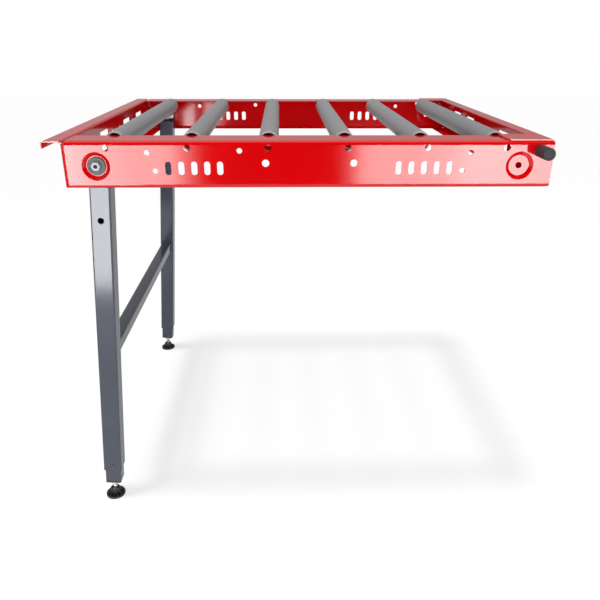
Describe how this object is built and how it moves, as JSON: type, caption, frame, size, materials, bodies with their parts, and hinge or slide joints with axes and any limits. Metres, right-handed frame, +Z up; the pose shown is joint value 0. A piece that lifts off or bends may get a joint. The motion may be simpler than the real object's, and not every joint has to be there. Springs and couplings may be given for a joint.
{
  "type": "roller outfeed table",
  "caption": "Red sheet-steel roller table that hangs on a saw bench at one end and stands on folding, telescopic legs with levelling feet at the other.",
  "frame": {"origin": "middle of the outer face of the panel at the saw end, half way up the rails", "axes": "+X out of the saw end towards the saw, -Y the front long side, +Z up"},
  "size_m": [0.83, 0.7966, 0.7325],
  "materials": {
    "red_paint": "gloss red powder coat on folded sheet steel",
    "slate_paint": "satin slate grey powder coat on square steel tube",
    "roller_plastic": "plain grey rigid plastic pipe",
    "black_plastic": "moulded black plastic",
    "peg_rubber": "smooth dark grey rubber sleeve",
    "zinc_steel": "bright zinc-plated fasteners",
    "axle_steel": "drawn steel rod"
  },
  "bodies": {
    "frame": {"front_rail": "red_paint", "back_rail": "red_paint", "outer_end_panel": "red_paint", "saw_end_panel": "red_paint", "roller_1_axle": "axle_steel", "roller_2_axle": "axle_steel", "roller_3_axle": "axle_steel", "roller_4_axle": "axle_steel", "roller_5_axle": "axle_steel", "roller_6_axle": "axle_steel", "front_pivot_bolt": "zinc_steel", "front_pivot_washer": "zinc_steel", "front_pivot_spacer": "black_plastic", "front_pivot_inner_washer": "zinc_steel", "front_pivot_nut": "zinc_steel", "front_peg_stud": "zinc_steel", "front_peg_sleeve": "peg_rubber", "back_pivot_bolt": "zinc_steel", "back_pivot_washer": "zinc_steel", "back_pivot_spacer": "black_plastic", "back_pivot_inner_washer": "zinc_steel", "back_pivot_nut": "zinc_steel", "back_peg_stud": "zinc_steel", "back_peg_sleeve": "peg_rubber"},
    "roller_1": {"roller_1_tube": "roller_plastic", "roller_1_front_bush": "black_plastic", "roller_1_back_bush": "black_plastic"},
    "roller_2": {"roller_2_tube": "roller_plastic", "roller_2_front_bush": "black_plastic", "roller_2_back_bush": "black_plastic"},
    "roller_3": {"roller_3_tube": "roller_plastic", "roller_3_front_bush": "black_plastic", "roller_3_back_bush": "black_plastic"},
    "roller_4": {"roller_4_tube": "roller_plastic", "roller_4_front_bush": "black_plastic", "roller_4_back_bush": "black_plastic"},
    "roller_5": {"roller_5_tube": "roller_plastic", "roller_5_front_bush": "black_plastic", "roller_5_back_bush": "black_plastic"},
    "roller_6": {"roller_6_tube": "roller_plastic", "roller_6_front_bush": "black_plastic", "roller_6_back_bush": "black_plastic"},
    "leg_frame": {"front_leg_tube": "slate_paint", "back_leg_tube": "slate_paint", "leg_crossbar": "slate_paint", "front_clamp_screw": "zinc_steel", "back_clamp_screw": "zinc_steel"},
    "front_inner_leg": {"front_inner_leg": "slate_paint", "front_leg_cap": "black_plastic", "front_lock_nut": "zinc_steel"},
    "front_foot_screw": {"front_foot_stud": "zinc_steel"},
    "front_foot": {"front_foot_base": "black_plastic"},
    "back_inner_leg": {"back_inner_leg": "slate_paint", "back_leg_cap": "black_plastic", "back_lock_nut": "zinc_steel"},
    "back_foot_screw": {"back_foot_stud": "zinc_steel"},
    "back_foot": {"back_foot_base": "black_plastic"}
  },
  "joints": [
    {"name": "leg_fold", "type": "hinge", "parent": "frame", "child": "leg_frame", "pos_m": [-0.746, 0, -0.002], "axis": [0, -1, 0], "range_deg": [0, 89.5]},
    {"name": "roller_1_spin", "type": "hinge", "parent": "frame", "child": "roller_1", "pos_m": [-0.728, 0, 0.027], "axis": [0, 1, 0], "continuous": true},
    {"name": "roller_2_spin", "type": "hinge", "parent": "frame", "child": "roller_2", "pos_m": [-0.598, 0, 0.027], "axis": [0, 1, 0], "continuous": true},
    {"name": "roller_3_spin", "type": "hinge", "parent": "frame", "child": "roller_3", "pos_m": [-0.468, 0, 0.027], "axis": [0, 1, 0], "continuous": true},
    {"name": "roller_4_spin", "type": "hinge", "parent": "frame", "child": "roller_4", "pos_m": [-0.338, 0, 0.027], "axis": [0, 1, 0], "continuous": true},
    {"name": "roller_5_spin", "type": "hinge", "parent": "frame", "child": "roller_5", "pos_m": [-0.208, 0, 0.027], "axis": [0, 1, 0], "continuous": true},
    {"name": "roller_6_spin", "type": "hinge", "parent": "frame", "child": "roller_6", "pos_m": [-0.078, 0, 0.027], "axis": [0, 1, 0], "continuous": true},
    {"name": "front_leg_extend", "type": "slide", "parent": "leg_frame", "child": "front_inner_leg", "axis": [-0.075, 0, -0.9972], "range_m": [-0.025, 0.1]},
    {"name": "front_foot_level", "type": "slide", "parent": "front_inner_leg", "child": "front_foot_screw", "axis": [-0.075, 0, -0.9972], "range_m": [-0.01, 0.02]},
    {"name": "front_foot_tilt", "type": "hinge", "parent": "front_foot_screw", "child": "front_foot", "pos_m": [-0.79683, -0.3308, -0.678], "axis": [0, 1, 0], "range_deg": [-10, 10]},
    {"name": "back_leg_extend", "type": "slide", "parent": "leg_frame", "child": "back_inner_leg", "axis": [-0.075, 0, -0.9972], "range_m": [-0.025, 0.1]},
    {"name": "back_foot_level", "type": "slide", "parent": "back_inner_leg", "child": "back_foot_screw", "axis": [-0.075, 0, -0.9972], "range_m": [-0.01, 0.02]},
    {"name": "back_foot_tilt", "type": "hinge", "parent": "back_foot_screw", "child": "back_foot", "pos_m": [-0.79683, 0.3308, -0.678], "axis": [0, 1, 0], "range_deg": [-10, 10]}
  ]
}
